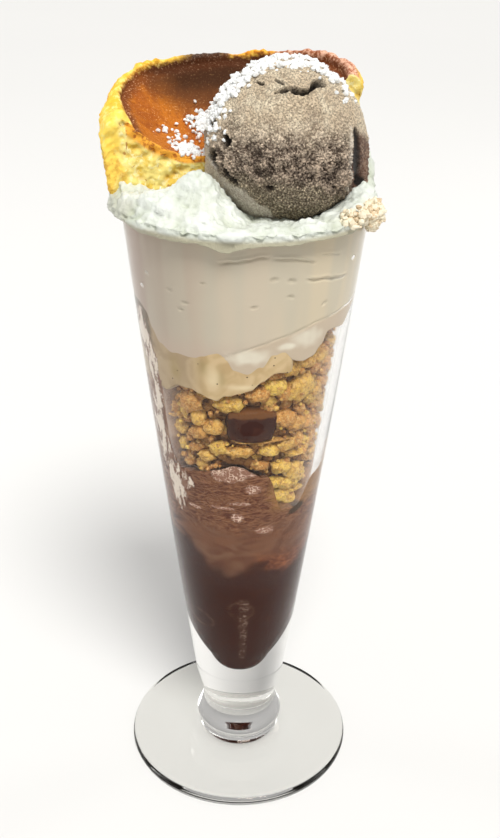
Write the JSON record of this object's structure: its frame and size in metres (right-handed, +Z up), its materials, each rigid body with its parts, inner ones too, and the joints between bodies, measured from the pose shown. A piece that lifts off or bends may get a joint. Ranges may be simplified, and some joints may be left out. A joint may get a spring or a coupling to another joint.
{
  "type": "cheesecake parfait",
  "caption": "Tall footed tapered glass of layered pudding, cocoa jelly, granola and cream, topped with scorched cheesecake and a scoop of cocoa ice cream.",
  "frame": {"origin": "centre of the glass foot's flat underside, on the axis of the glass", "axes": "+Z up along the glass axis; -Y towards the side the picture shows, +X to its right"},
  "size_m": [0.0821, 0.0792, 0.2436],
  "materials": {
    "clear_glass": "clear, polished",
    "pudding": "smooth dark pudding",
    "jelly": "wet, cloudy jelly",
    "granola": "toasted, dry",
    "chocolate": "glossy chocolate",
    "custard": "soft custard",
    "whipped_cream": "soft whipped cream",
    "smeared_cream": "smeared cream with crumbs",
    "scorched_cheesecake": "browned top, moist crumb",
    "cocoa_ice_cream": "grainy frozen scoop",
    "crumble": "cream-coated crumbs"
  },
  "bodies": {
    "root": {"glass": "clear_glass", "chocolate_pudding": "pudding", "cocoa_jelly": "jelly", "granola": "granola", "chocolate_pocket": "chocolate", "custard": "custard", "whipped_cream": "whipped_cream", "cream_streak": "smeared_cream", "cheesecake": "scorched_cheesecake", "ice_cream": "cocoa_ice_cream", "rim_crumble": "crumble"}
  },
  "joints": []
}
